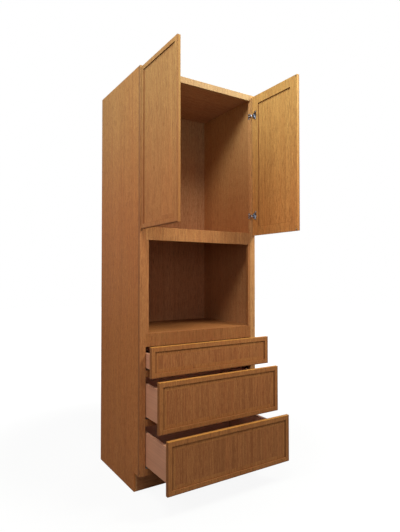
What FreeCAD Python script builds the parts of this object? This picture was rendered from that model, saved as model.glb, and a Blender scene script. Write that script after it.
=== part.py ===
import FreeCAD, Part
import os
import re
import Sketcher

# Tall face-frame oven cabinet: three drawers below, an open oven bay, a two-door cupboard above.
# Millimetres. +X to the right, +Y to the wall, +Z up.
# The origin is on the floor, on the centre line, in the plane of the wall.
# The doors stand open and the drawers are pulled out, which is the rest pose of every joint.

Vector = FreeCAD.Vector
DOC = FreeCAD.newDocument("oven_cabinet")

# Driving dimensions: name, value, meaning.
SIZES = [
    ("cab_width", 838.2, "overall width"),
    ("cab_depth", 609.6, "wall to front of face frame"),
    ("cab_height", 2438.4, "floor to top"),
    ("side_thickness", 19.05, "side panels"),
    ("deck_thickness", 19.05, "top panel and decks"),
    ("back_thickness", 6.35, "back panel"),
    ("nailer_thickness", 19.05, "wall nailers behind the back panel"),
    ("nailer_height", 88.9, "wall nailers"),
    ("dado_depth", 6.35, "grooves in the side panels"),
    ("cleat_thickness", 19.05, "cleats under the oven deck"),
    ("cleat_height", 57.15, "cleats under the oven deck"),
    ("toe_height", 107.95, "toe notch"),
    ("toe_depth", 69.85, "toe notch, from front of face frame"),
    ("toe_board_thickness", 12.7, "toe kick board"),
    ("frame_thickness", 19.05, "face frame"),
    ("stile_width", 38.1, "face frame stiles"),
    ("bottom_rail_height", 38.1, "rail under the bottom drawer"),
    ("drawer_rail_height", 38.1, "rails between drawers"),
    ("sill_rail_height", 76.2, "rail under the oven opening"),
    ("head_rail_height", 76.2, "rail over the oven opening"),
    ("top_rail_height", 38.1, "rail over the doors"),
    ("bottom_opening", 238.125, "height of bottom drawer opening"),
    ("middle_opening", 238.125, "height of middle drawer opening"),
    ("top_opening", 133.35, "height of top drawer opening"),
    ("oven_opening", 533.4, "height of oven opening"),
    ("filler_width", 19.05, "strips beside the oven opening"),
    ("tenon_thickness", 6.35, "rail tenons"),
    ("tenon_length", 12.7, "rail tenons"),
    ("tenon_shoulder", 6.35, "shoulder above and below a tenon"),
    ("tenon_gap", 0.5, "end room in a mortise"),
    ("frame_easing", 1.2, "eased front edges of the face frame"),
    ("front_thickness", 19.05, "doors and drawer fronts"),
    ("front_reveal", 6.35, "frame seen beside a front"),
    ("front_gap", 3.175, "gap between neighbouring fronts"),
    ("frame_gap", 3.0, "closed front to face frame"),
    ("member_width", 57.15, "stiles and rails of the fronts, at the back"),
    ("rim_width", 25.4, "raised rim of the fronts"),
    ("rim_step", 5.0, "rim down to panel"),
    ("panel_thickness", 6.35, "panels of the fronts"),
    ("panel_seat", 9.5, "lap of a panel on its frame"),
    ("front_easing", 1.5, "eased outer edges of the fronts"),
    ("door_top_reveal", 11.7, "frame seen above the doors"),
    ("door_bottom_overlay", 15.9, "door over the head rail"),
    ("door_opening", 90.0, "degrees the doors stand open"),
    ("top_drawer_out", 113.1, "top drawer pulled out"),
    ("middle_drawer_out", 204.5, "middle drawer pulled out"),
    ("bottom_drawer_out", 300.3, "bottom drawer pulled out"),
    ("box_side_gap", 5.0, "drawer box to opening, each side"),
    ("box_lift", 14.3, "drawer box above its rail"),
    ("box_rear_room", 53.8, "closed drawer box to back panel"),
    ("box_side_thickness", 15.875, "drawer box sides"),
    ("box_end_thickness", 15.875, "drawer box front and back"),
    ("box_bottom_thickness", 6.35, "drawer bottoms"),
    ("box_groove", 6.35, "depth of grooves for drawer bottoms"),
    ("bottom_recess", 12.7, "drawer bottom above lower edge of box"),
    ("top_box_height", 82.55, "top drawer box"),
    ("middle_box_height", 184.15, "middle drawer box"),
    ("bottom_box_height", 184.15, "bottom drawer box"),
    ("dovetail_pitch", 26.0, "about one tail in this height"),
    ("dovetail_flare", 2.2, "tail half width gained from root to tip"),
    ("dovetail_pin", 8.0, "pin width at the root of the tails"),
    ("slide_steel", 1.25, "sheet of the drawer slides"),
    ("slide_run", 0.4, "running gap between slide members"),
    ("slide_head_half", 6.0, "half width of the fixed member's head"),
    ("slide_side_room", 2.8, "drawer side to slide"),
    ("slide_drop", 13.0, "slide base below drawer box"),
    ("slide_flange", 14.0, "top of screw flange above lower edge of box"),
    ("slide_lip", 4.5, "hooked lips, lap under the member they hold"),
    ("slide_leg_end", 1.0, "end of the head's leg above lower edge of box"),
    ("slide_front", 3.0, "slide behind the front of the face frame"),
    ("slide_rear_room", 51.2, "fixed member to back panel"),
    ("slide_clear", 1.0, "step from one member's end to the next"),
    ("slide_tail", 4.0, "rear ends of the moving members, short of the fixed one"),
    ("bracket_plate", 3.0, "rear bracket plate"),
    ("bracket_margin", 12.0, "rear bracket plate beyond the slide"),
    ("bracket_tongue", 18.0, "rear bracket tongue in the slide"),
    ("bracket_height", 4.0, "rear bracket tongue"),
    ("clip_width", 26.0, "locking clips"),
    ("clip_length", 42.0, "locking clips"),
    ("clip_drop", 6.0, "locking clips below lower edge of box"),
    ("pivot_inset", 13.0, "hinge pin from side of cabinet"),
    ("pivot_forward", 13.1, "hinge pin in front of face frame"),
    ("hinge_inset", 129.5, "hinge centre from end of door"),
    ("pin_radius", 1.0, "hinge pin"),
    ("pin_fit", 0.05, "radial play of hinge pin"),
    ("eye_radius", 1.7, "eye of hinge arm"),
    ("pin_half_length", 9.0, "hinge pin, from its middle"),
    ("cup_tab", 3.0, "door edge to hinge cup"),
    ("cup_radius", 17.5, "hinge cup"),
    ("cup_depth", 12.6, "hinge cup"),
    ("cup_wall", 0.5, "hinge cup"),
    ("cup_rim_radius", 20.0, "round flange of hinge cup"),
    ("cup_flange", 1.2, "flange thickness of hinge cup"),
    ("wing_offset", 9.5, "middle of the wings from cup centre"),
    ("wing_half_width", 9.0, "wings of hinge cup"),
    ("wing_half_length", 29.0, "wings of hinge cup"),
    ("wing_chamfer", 4.0, "corners of the wings"),
    ("arm_thickness", 2.0, "hinge arm in the cup"),
    ("arm_lift", 0.3, "hinge arm above floor of cup"),
    ("neck_half_width", 3.0, "hinge arm at its eye"),
    ("neck_room", 1.0, "notch in cup wall, beyond the neck"),
    ("arm_half_width", 7.5, "hinge arm outside the cup"),
    ("plate_thickness", 2.5, "hinge plate"),
    ("plate_half_height", 18.3, "hinge plate"),
    ("plate_front", 2.0, "hinge plate behind front of face frame"),
    ("plate_depth", 15.0, "hinge plate"),
    ("plate_hole_offset", 12.0, "screw holes above and below hinge centre"),
    ("plate_hole_radius", 1.9, "screw holes of hinge plate"),
    ("bumper_radius", 4.0, "door bumpers"),
    ("bumper_height", 2.8, "door bumpers"),
    ("bumper_inset", 8.0, "door bumpers from edges of door"),
]

# Lengths that follow from the driving dimensions.
DERIVED = {
    "half_width": "cab_width / 2",
    "inner_half": "half_width - side_thickness",
    "opening_half": "half_width - stile_width",
    "frame_front": "-cab_depth",
    "frame_back": "frame_front + frame_thickness",
    "back_front": "-nailer_thickness - back_thickness",
    "toe_face": "frame_front + toe_depth",
    "bottom_low": "toe_height + bottom_rail_height",
    "bottom_high": "bottom_low + bottom_opening",
    "middle_low": "bottom_high + drawer_rail_height",
    "middle_high": "middle_low + middle_opening",
    "top_low": "middle_high + drawer_rail_height",
    "top_high": "top_low + top_opening",
    "oven_low": "top_high + sill_rail_height",
    "oven_high": "oven_low + oven_opening",
    "upper_low": "oven_high + head_rail_height",
    "upper_high": "cab_height - top_rail_height",
    "front_overlay": "(drawer_rail_height - front_gap) / 2",
    "seat_edge": "member_width - panel_seat",
    "panel_back": "rim_step + panel_thickness",
    "door_width": "(cab_width - 2 * front_reveal - front_gap) / 2",
    "door_low": "upper_low - door_bottom_overlay",
    "door_high": "cab_height - door_top_reveal",
    "door_height": "door_high - door_low",
    "door_middle": "(door_low + door_high) / 2",
    "front_width": "cab_width - 2 * front_reveal",
    "box_half": "opening_half - box_side_gap",
    "box_inner": "box_half - box_side_thickness",
    "middle_half": "slide_head_half + slide_run + slide_steel",
    "outer_half": "middle_half + slide_run + slide_steel",
    "slide_centre": "slide_side_room + outer_half - box_inner",
    "middle_top": "bottom_recess - slide_steel - slide_run",
    "head_top": "middle_top - slide_steel - slide_run",
    "middle_lip": "slide_leg_end - slide_run",
    "outer_lip": "middle_lip - slide_steel - slide_run",
    "closed_box_front": "box_end_thickness - frame_gap",
    "bay_depth": "cab_depth + back_front",
    "slide_back": "bay_depth - slide_rear_room",
    "box_depth": "bay_depth + frame_gap - box_rear_room",
    "hinge_height": "door_height / 2 - hinge_inset",
    "cup_x": "cup_tab + cup_radius - door_width / 2",
    "pivot_x": "pivot_inset - front_reveal - door_width / 2",
    "pivot_y": "front_thickness + frame_gap - pivot_forward",
    "cup_floor": "front_thickness - cup_depth + cup_wall",
    "arm_low": "arm_lift + cup_floor - front_thickness - frame_gap",
    "plate_inside": "stile_width - half_width",
}

WORD = re.compile(r"[A-Za-z_][A-Za-z_0-9]*")

sheet = DOC.addObject("Spreadsheet::Sheet", "Sizes")
for row, (alias, value, meaning) in enumerate(SIZES, 1):
    sheet.set(f"A{row}", alias)
    sheet.set(f"B{row}", str(value))
    sheet.setAlias(f"B{row}", alias)
    sheet.set(f"C{row}", meaning)
DOC.recompute()
ALIASES = {alias for alias, value, meaning in SIZES}


def formula(text):
    """Expression in which each named length is replaced by its cell or by what it follows from."""

    def swap(match):
        word = match.group(0)
        if word in DERIVED:
            return "(" + formula(DERIVED[word]) + ")"
        if word in ALIASES:
            return "Sizes." + word
        return word

    return WORD.sub(swap, text)


def bind(thing, path, text):
    thing.setExpression(path, formula(text))


# Building blocks. A span is a pair of texts: where it begins and where it ends.


def board(name, x_span, y_span, z_span):
    box = DOC.addObject("Part::Box", name)
    spans = {"x": ("Length", x_span), "y": ("Width", y_span), "z": ("Height", z_span)}
    for axis, (side, (low, high)) in spans.items():
        bind(box, side, f"({high}) - ({low})")
        bind(box, f"Placement.Base.{axis}", low)
    return box


def mirror(name, source, axis="X"):
    """Copy on the other side of the plane through the origin across the axis."""
    other = DOC.addObject("Part::Mirroring", name)
    other.Source = source
    other.Normal = {"X": Vector(1, 0, 0), "Z": Vector(0, 0, 1)}[axis]
    return other


def group(name, members):
    compound = DOC.addObject("Part::Compound", name)
    compound.Links = members
    return compound


def cut(name, base, tool):
    result = DOC.addObject("Part::Cut", name)
    result.Base = base
    result.Tool = tool
    return result


def rectangle(a_span, b_span):
    return [(a_span[0], b_span[0]), (a_span[1], b_span[0]), (a_span[1], b_span[1]), (a_span[0], b_span[1])]


def ring(a, b, radius):
    return {"centre": (a, b), "radius": radius}


PLANES = {"X": "YZ_Plane", "Y": "XZ_Plane", "Z": "XY_Plane"}


def new_body(name):
    return DOC.addObject("PartDesign::Body", name)


def pin_point(sketch, element, place, a, b):
    """Hold one point of a sketch at the distances a and b from its origin."""
    for kind, text in (("DistanceX", a), ("DistanceY", b)):
        index = sketch.addConstraint(Sketcher.Constraint(kind, -1, 1, element, place, 1.0))
        bind(sketch, f"Constraints[{index}]", text)


def sketch_on(body, axis, level, loops):
    """Closed loops drawn across an axis of the body, at a level on that axis."""
    sketch = body.newObject("Sketcher::SketchObject", body.Name + "_sketch")
    planes = {item.Role: item for item in body.Origin.OriginFeatures}
    sketch.AttachmentSupport = [(planes[PLANES[axis]], "")]
    sketch.MapMode = "FlatFace"
    bind(sketch, "AttachmentOffset.Base.z", f"-({level})" if axis == "Y" else level)
    for loop in loops:
        first = sketch.GeometryCount
        if isinstance(loop, dict):
            sketch.addGeometry(Part.Circle(Vector(1, 1, 0), Vector(0, 0, 1), 1.0), False)
            pin_point(sketch, first, 3, *loop["centre"])
            index = sketch.addConstraint(Sketcher.Constraint("Radius", first, 1.0))
            bind(sketch, f"Constraints[{index}]", loop["radius"])
            continue
        count = len(loop)
        for k in range(count):
            start = Vector(10 * k, k * k, 0)
            end = Vector(10 * (k + 1), (k + 1) ** 2, 0) if k + 1 < count else Vector(0, 0, 0)
            sketch.addGeometry(Part.LineSegment(start, end), False)
        for k in range(count):
            sketch.addConstraint(Sketcher.Constraint("Coincident", first + k, 2, first + (k + 1) % count, 1))
        for k, (a, b) in enumerate(loop):
            pin_point(sketch, first + k, 1, a, b)
    return sketch


def pad(body, axis, span, loops):
    """Material over a span of an axis."""
    low, high = span
    feature = body.newObject("PartDesign::Pad", body.Name + "_pad")
    feature.Profile = sketch_on(body, axis, high if axis == "Y" else low, loops)
    bind(feature, "Length", f"({high}) - ({low})")
    body.Tip = feature
    return feature


def pocket(body, axis, span, loops):
    """Material taken away over a span of an axis."""
    low, high = span
    feature = body.newObject("PartDesign::Pocket", body.Name + "_pocket")
    feature.Profile = sketch_on(body, axis, low if axis == "Y" else high, loops)
    bind(feature, "Length", f"({high}) - ({low})")
    body.Tip = feature
    return feature


def edges_on(shape, sides):
    """Names of the edges that lie in each of the named sides of the shape's bounding box."""
    box = shape.BoundBox
    limits = {
        "x_low": box.XMin, "x_high": box.XMax,
        "y_low": box.YMin, "y_high": box.YMax,
        "z_low": box.ZMin, "z_high": box.ZMax,
    }
    names = []
    for number, edge in enumerate(shape.Edges, 1):
        span = edge.BoundBox
        ends = {
            "x": (span.XMin, span.XMax),
            "y": (span.YMin, span.YMax),
            "z": (span.ZMin, span.ZMax),
        }
        if all(abs(end - limits[side]) < 0.001 for side in sides for end in ends[side[0]]):
            names.append(f"Edge{number}")
    return names


def dress(body, kind, path, size, corners):
    """Fillet or chamfer the outer edges where two sides of the body's bounding box meet."""
    DOC.recompute()
    base = body.Tip
    names = []
    for sides in corners:
        names += edges_on(base.Shape, sides)
    feature = body.newObject("PartDesign::" + kind, body.Name + "_edges")
    feature.Base = (base, names)
    bind(feature, path, size)
    body.Tip = feature
    return feature


def ease(body, radius, corners):
    return dress(body, "Fillet", "Radius", radius, corners)


def bevel(body, size, corners):
    return dress(body, "Chamfer", "Size", size, corners)


def move(thing, x, y, z, turn=None):
    """Place a thing, after an optional turn given as an axis and an angle in degrees."""
    if turn:
        thing.Placement = FreeCAD.Placement(Vector(0, 0, 0), FreeCAD.Rotation(*turn))
    for axis, text in (("x", x), ("y", y), ("z", z)):
        bind(thing, f"Placement.Base.{axis}", text)
    return thing


NODES = []


def node(label, thing):
    """Give a finished sub-part the name under which it is written."""
    thing.Label = label
    NODES.append(thing)
    return thing


# Carcass


def side_panels():
    body = new_body("side_board")
    outline = [
        ("0", "0"),
        ("0", "cab_height"),
        ("frame_back", "cab_height"),
        ("frame_back", "toe_height"),
        ("toe_face", "toe_height"),
        ("toe_face", "0"),
    ]
    pad(body, "X", ("-half_width", "-inner_half"), [outline])
    depth = ("-inner_half - dado_depth", "-inner_half")
    deck_line = ("frame_back", "back_front")
    dados = [
        rectangle(deck_line, ("bottom_low - deck_thickness", "bottom_low")),
        rectangle(deck_line, ("upper_low - deck_thickness", "upper_low")),
        rectangle(deck_line, ("cab_height - deck_thickness", "cab_height")),
    ]
    pocket(body, "X", depth, dados)
    groove = rectangle(("back_front", "-nailer_thickness"), ("0", "cab_height"))
    pocket(body, "X", depth, [groove])
    node("left_side_panel", body)
    node("right_side_panel", mirror("side_board_right", body))


def across(half):
    """Span across the cabinet's width, the same on both sides of the centre line."""
    return (f"-({half})", half)


def decks():
    housed = across("inner_half + dado_depth")
    depth = ("frame_back", "back_front")
    for label, top in (("bottom_deck", "bottom_low"), ("upper_deck", "upper_low"), ("top_panel", "cab_height")):
        node(label, board(label + "_board", housed, depth, (f"{top} - deck_thickness", top)))
    oven_deck = board("oven_deck_board", across("inner_half"), depth, ("oven_low - deck_thickness", "oven_low"))
    node("oven_deck", oven_deck)
    cleat_top = "oven_low - deck_thickness"
    cleat = board(
        "cleat",
        ("-inner_half", "-inner_half + cleat_thickness"),
        depth,
        (f"{cleat_top} - cleat_height", cleat_top),
    )
    node("oven_deck_cleats", group("cleats", [cleat, mirror("cleat_right", cleat)]))


def back_and_base():
    back = board(
        "back_board",
        across("inner_half + dado_depth"),
        ("back_front", "-nailer_thickness"),
        ("0", "cab_height"),
    )
    node("back_panel", back)
    starts = ["0", "oven_low - deck_thickness / 2 - nailer_height / 2", "cab_height - nailer_height"]
    nailers = []
    for number, start in enumerate(starts, 1):
        span = (start, f"{start} + nailer_height")
        nailers.append(board(f"nailer_{number}", across("inner_half"), ("-nailer_thickness", "0"), span))
    node("wall_nailers", group("nailers", nailers))
    toe = board(
        "toe_board",
        across("inner_half"),
        ("toe_face", "toe_face + toe_board_thickness"),
        ("0", "bottom_low - deck_thickness"),
    )
    node("toe_kick_board", toe)


RAILS = {
    "bottom_rail": ("toe_height", "bottom_low"),
    "lower_drawer_rail": ("bottom_high", "middle_low"),
    "upper_drawer_rail": ("middle_high", "top_low"),
    "oven_sill_rail": ("top_high", "oven_low"),
    "oven_head_rail": ("oven_high", "upper_low"),
    "top_rail": ("upper_high", "cab_height"),
}
TENON_DEPTH = (
    "frame_front + (frame_thickness - tenon_thickness) / 2",
    "frame_front + (frame_thickness + tenon_thickness) / 2",
)


def tenon_height(span):
    return (f"{span[0]} + tenon_shoulder", f"{span[1]} - tenon_shoulder")


def face_frame():
    """Rails with stub tenons, stiles with their mortises, and the strips beside the oven opening."""
    for label, span in RAILS.items():
        body = new_body(label + "_body")
        pad(body, "X", across("opening_half"), [rectangle(("frame_front", "frame_back"), span)])
        ease(body, "frame_easing", [("y_low", "z_low"), ("y_low", "z_high")])
        tenon = rectangle(TENON_DEPTH, tenon_height(span))
        pad(body, "X", across("opening_half + tenon_length"), [tenon])
        node(label, body)
    stile = new_body("stile_body")
    upright = rectangle(("frame_front", "frame_back"), ("toe_height", "cab_height"))
    pad(stile, "X", ("-half_width", "-opening_half"), [upright])
    mortises = [rectangle(TENON_DEPTH, tenon_height(span)) for span in RAILS.values()]
    pocket(stile, "X", ("-opening_half - tenon_length - tenon_gap", "-opening_half"), mortises)
    ease(stile, "frame_easing", [("x_low", "y_low")])
    node("left_stile", stile)
    node("right_stile", mirror("stile_body_right", stile))
    strip = board(
        "filler",
        ("-opening_half", "-opening_half + filler_width"),
        ("frame_front", "frame_back"),
        ("oven_low", "oven_high"),
    )
    node("oven_fillers", group("fillers", [strip, mirror("filler_right", strip)]))


# Framed fronts: local origin at the middle of the front face, +Y into the cabinet.


def front_stile(name, wide, high):
    """Left stile: raised rim, step down to the panel's level, seat for the panel behind it."""
    edge = f"-({wide}) / 2"
    section = [
        (edge, "0"),
        (f"{edge} + rim_width", "0"),
        (f"{edge} + rim_width", "rim_step"),
        (f"{edge} + seat_edge", "rim_step"),
        (f"{edge} + seat_edge", "panel_back"),
        (f"{edge} + member_width", "panel_back"),
        (f"{edge} + member_width", "front_thickness"),
        (edge, "front_thickness"),
    ]
    body = new_body(name)
    pad(body, "Z", (f"-({high}) / 2", f"({high}) / 2"), [section])
    ease(body, "front_easing", [("x_low", "y_low"), ("y_low", "z_low"), ("y_low", "z_high")])
    return body


def front_rail(name, wide, high):
    """Bottom rail: three layers, each long enough to lap the step of the stiles that it meets."""
    foot = f"-({high}) / 2"
    layers = [
        ("rim_width", ("0", "rim_step")),
        ("seat_edge", ("rim_step", "panel_back")),
        ("member_width", ("panel_back", "front_thickness")),
    ]
    body = new_body(name)
    for reach, depth in layers:
        pad(body, "X", across(f"({wide}) / 2 - {reach}"), [rectangle(depth, (foot, f"{foot} + {reach}"))])
    ease(body, "front_easing", [("y_low", "z_low")])
    return body


def front_panel(name, wide, high):
    return board(
        name,
        across(f"({wide}) / 2 - seat_edge"),
        ("rim_step", "panel_back"),
        across(f"({high}) / 2 - seat_edge"),
    )


# Hinges, for the left door. The cup turns with the door; arm and plate stay on the frame.


def hinge_cup():
    """Cup with a winged flange, a notch for the arm's neck, and the pin across it."""
    body = new_body("cup")
    flange = ("front_thickness", "front_thickness + cup_flange")
    middle = "cup_x + wing_offset"
    wings = rectangle(
        (f"{middle} - wing_half_width", f"{middle} + wing_half_width"),
        ("hinge_height - wing_half_length", "hinge_height + wing_half_length"),
    )
    pad(body, "Y", flange, [wings])
    bevel(body, "wing_chamfer", [(x, z) for x in ("x_low", "x_high") for z in ("z_low", "z_high")])
    pad(body, "Y", flange, [ring("cup_x", "hinge_height", "cup_rim_radius")])
    pad(body, "Y", ("cup_floor - cup_wall", "front_thickness"), [ring("cup_x", "hinge_height", "cup_radius")])
    bowl = ring("cup_x", "hinge_height", "cup_radius - cup_wall")
    pocket(body, "Y", ("cup_floor", "front_thickness + cup_flange"), [bowl])
    notch = rectangle(
        ("cup_x - cup_rim_radius - cup_wall", "pivot_x"),
        ("hinge_height - neck_half_width - neck_room", "hinge_height + neck_half_width + neck_room"),
    )
    pocket(body, "Y", ("pivot_y + eye_radius", "front_thickness + cup_flange"), [notch])
    pin = ring("pivot_x", "pivot_y", "pin_radius")
    pad(body, "Z", ("hinge_height - pin_half_length", "hinge_height + pin_half_length"), [pin])
    return body


def hinge_arm():
    """Arm: eye round the pin, neck along the cup floor, turn past the stile, plate on its inner edge."""
    body = new_body("arm")
    eye_x = "pivot_inset - half_width"
    outside = "plate_inside + plate_thickness"
    neck = ("hinge_height - neck_half_width", "hinge_height + neck_half_width")
    wide = ("hinge_height - arm_half_width", "hinge_height + arm_half_width")
    tall = ("hinge_height - plate_half_height", "hinge_height + plate_half_height")
    pad(body, "Z", wide, [rectangle(("plate_inside", outside), ("arm_low", "plate_front"))])
    ease(body, "plate_thickness * 0.9", [("x_high", "y_low")])
    pad(body, "Z", neck, [rectangle((eye_x, "plate_inside"), ("arm_low", "arm_low + arm_thickness"))])
    pad(body, "Z", neck, [ring(eye_x, "-pivot_forward", "eye_radius")])
    plate = rectangle(("plate_inside", outside), ("plate_front", "plate_front + plate_depth"))
    pad(body, "Z", tall, [plate])
    pocket(body, "Z", neck, [ring(eye_x, "-pivot_forward", "pin_radius + pin_fit")])
    depth = "plate_front + plate_depth / 2"
    heights = [f"hinge_height {sign} plate_hole_offset" for sign in "+-"]
    pocket(body, "X", ("plate_inside", outside), [ring(depth, height, "plate_hole_radius") for height in heights])
    return body


def place_on_left_door(thing):
    """Swing a thing from the door's own frame, closed, round the hinge pin to the open door."""
    thing.Placement = FreeCAD.Placement(Vector(0, 0, 0), FreeCAD.Rotation(Vector(0, 0, -1), 90))
    bind(thing, "Placement.Rotation.Angle", "door_opening")
    angle = "door_opening * 1 deg"
    bind(thing, "Placement.Base.x", f"pivot_inset - half_width - pivot_x * cos({angle}) - pivot_y * sin({angle})")
    bind(thing, "Placement.Base.y", f"frame_front - pivot_forward + pivot_x * sin({angle}) - pivot_y * cos({angle})")
    bind(thing, "Placement.Base.z", "door_middle")
    return thing


def door_bumpers():
    bumper = DOC.addObject("Part::Cylinder", "bumper")
    bind(bumper, "Radius", "bumper_radius")
    bind(bumper, "Height", "bumper_height")
    high = "door_height / 2 - bumper_inset"
    move(bumper, "door_width / 2 - bumper_inset", "front_thickness", high, (Vector(1, 0, 0), -90))
    return group("bumpers", [bumper, mirror("bumper_low", bumper, "Z")])


def doors():
    stile = front_stile("door_stile", "door_width", "door_height")
    rail = front_rail("door_rail", "door_width", "door_height")
    cup = hinge_cup()
    bored = new_body("hinge_bores")
    bore_span = ("cup_floor - cup_wall", "front_thickness")
    bores = [ring("cup_x", sign + "hinge_height", "cup_radius") for sign in ("", "-")]
    for bore in bores:
        pad(bored, "Y", bore_span, [bore])
    hinge_stile = cut("hinge_stile", stile, bored)
    parts = {
        "stiles": group("door_stiles", [hinge_stile, mirror("free_stile", stile)]),
        "rails": group("door_rails", [rail, mirror("door_rail_top", rail, "Z")]),
        "panel": group("door_panel", [front_panel("door_panel_board", "door_width", "door_height")]),
        "hinge_cups": group("door_cups", [cup, mirror("cup_low", cup, "Z")]),
        "bumpers": group("door_bumpers", [door_bumpers()]),
    }
    for word, thing in parts.items():
        place_on_left_door(thing)
        middle = word if "cup" in word else "door_" + word
        node("left_" + middle, thing)
        node("right_" + middle, mirror("right_" + word, thing))


def hinges_on_frame():
    arm = hinge_arm()
    pair = group("arm_pair", [arm, mirror("arm_low_end", arm, "Z")])
    move(pair, "0", "frame_front", "door_middle")
    node("left_hinge_arms", pair)
    node("right_hinge_arms", mirror("right_arms", pair))


# Drawer boxes: local origin on the centre line, at the box's front face and lower edge.


def box_side(name, high):
    """Left side board with a row of dovetails at each end."""
    body = new_body(name)
    span = ("-box_half", "-box_inner")
    inner = ("box_end_thickness", "box_depth - box_end_thickness")
    pad(body, "X", span, [rectangle(inner, ("0", high))])
    tails = f"round({high} / dovetail_pitch)"
    pitch = f"({high}) / {tails}"
    root = f"({pitch} - dovetail_pin) / 2"
    middle = f"({pitch}) / 2"
    rows = [("box_end_thickness", "0"), ("box_depth - box_end_thickness", "box_depth")]
    for number, (near, far) in enumerate(rows):
        tail = [
            (near, f"{middle} - {root}"),
            (far, f"{middle} - {root} - dovetail_flare"),
            (far, f"{middle} + {root} + dovetail_flare"),
            (near, f"{middle} + {root}"),
        ]
        first = pad(body, "X", span, [tail])
        row = body.newObject("PartDesign::LinearPattern", f"{name}_row_{number}")
        row.Originals = [first]
        row.Direction = (first.Profile[0], ["V_Axis"])
        bind(row, "Length", f"({high}) - ({pitch})")
        bind(row, "Occurrences", tails)
        body.Tip = row
    return body


def slide_x(text):
    return f"slide_centre + ({text})"


def notch_tool(name):
    """Room for a slide under the drawer's back board."""
    right = slide_x("outer_half + slide_side_room")
    return board(name, ("-box_half", right), ("box_depth - box_end_thickness", "box_depth"), ("0", "bottom_recess"))


def drawer_slide_member(name):
    """Member under the drawer bottom: top, two walls, a lip hooked under the middle member."""
    outline = [
        (slide_x("-outer_half"), "bottom_recess"),
        (slide_x("-outer_half"), "outer_lip - slide_steel"),
        (slide_x("-outer_half + slide_steel"), "outer_lip - slide_steel"),
        (slide_x("-outer_half + slide_steel"), "bottom_recess - slide_steel"),
        (slide_x("outer_half - slide_steel"), "bottom_recess - slide_steel"),
        (slide_x("outer_half - slide_steel"), "outer_lip"),
        (slide_x("outer_half - slide_steel - slide_lip"), "outer_lip"),
        (slide_x("outer_half - slide_steel - slide_lip"), "outer_lip - slide_steel"),
        (slide_x("outer_half"), "outer_lip - slide_steel"),
        (slide_x("outer_half"), "bottom_recess"),
    ]
    body = new_body(name)
    pad(body, "Y", ("box_end_thickness + slide_clear", "box_depth - slide_tail"), [outline])
    return body


def middle_slide_member(name):
    """Member between the other two: top, two walls, a lip hooked under the fixed member's leg."""
    outline = [
        (slide_x("-middle_half"), "middle_top"),
        (slide_x("-middle_half"), "middle_lip - slide_steel"),
        (slide_x("-middle_half + slide_steel"), "middle_lip - slide_steel"),
        (slide_x("-middle_half + slide_steel"), "middle_top - slide_steel"),
        (slide_x("middle_half - slide_steel"), "middle_top - slide_steel"),
        (slide_x("middle_half - slide_steel"), "middle_lip"),
        (slide_x("middle_half - slide_steel - slide_lip"), "middle_lip"),
        (slide_x("middle_half - slide_steel - slide_lip"), "middle_lip - slide_steel"),
        (slide_x("middle_half"), "middle_lip - slide_steel"),
        (slide_x("middle_half"), "middle_top"),
    ]
    body = new_body(name)
    pad(body, "Y", ("closed_box_front + 2 * slide_clear", "slide_back - slide_tail"), [outline])
    return body


def fixed_slide_member(name):
    """One folded sheet: screw flange, base, upright, head and its leg."""
    base_top = "slide_steel - slide_drop"
    flange = [
        ("-opening_half", "slide_flange"),
        ("-opening_half", "-slide_drop"),
        (slide_x("-slide_head_half + slide_steel"), "-slide_drop"),
        (slide_x("-slide_head_half + slide_steel"), base_top),
        ("-opening_half + slide_steel", base_top),
        ("-opening_half + slide_steel", "slide_flange"),
    ]
    head = [
        (slide_x("-slide_head_half"), "head_top"),
        (slide_x("-slide_head_half"), base_top),
        (slide_x("-slide_head_half + slide_steel"), base_top),
        (slide_x("-slide_head_half + slide_steel"), "head_top - slide_steel"),
        (slide_x("slide_head_half - slide_steel"), "head_top - slide_steel"),
        (slide_x("slide_head_half - slide_steel"), "slide_leg_end"),
        (slide_x("slide_head_half"), "slide_leg_end"),
        (slide_x("slide_head_half"), "head_top"),
    ]
    body = new_body(name)
    pad(body, "Y", ("slide_front", "slide_back"), [flange])
    pad(body, "Y", ("closed_box_front + 3 * slide_clear", "slide_back"), [head])
    return body


def rear_bracket(name):
    """Plate on the back panel with a tongue that the fixed member's rear end sits on."""
    body = new_body(name)
    base_top = "slide_steel - slide_drop"
    plate_y = "bay_depth - bracket_plate"
    inside = ("2 * slide_steel - opening_half", slide_x("-slide_head_half - slide_steel"))
    reach = ("slide_steel - opening_half - bracket_margin / 2", slide_x("outer_half + bracket_margin / 2"))
    plate = rectangle(reach, ("-slide_drop", "bottom_recess + bracket_margin"))
    pad(body, "Y", (plate_y, "bay_depth"), [plate])
    pad(body, "Y", ("slide_back", plate_y), [rectangle(inside, ("-slide_drop", f"{base_top} + bracket_height"))])
    tongue = rectangle(inside, (base_top, f"{base_top} + bracket_height"))
    pad(body, "Y", ("slide_back - bracket_tongue", "slide_back"), [tongue])
    return body


def locking_clip(name):
    """Moulded clip behind the box front, with a finger lever under it."""
    profile = [
        ("box_end_thickness", "bottom_recess"),
        ("box_end_thickness", "-clip_drop"),
        ("box_end_thickness + clip_length * 0.55", "-clip_drop"),
        ("box_end_thickness + clip_length * 0.7", "0"),
        ("box_end_thickness + clip_length", "bottom_recess / 2"),
        ("box_end_thickness + clip_length", "bottom_recess"),
    ]
    body = new_body(name)
    pad(body, "X", (slide_x("outer_half"), slide_x("outer_half + clip_width")), [profile])
    return body


def both_sides(name, thing):
    return group(name, [thing, mirror(name + "_right", thing)])


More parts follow.
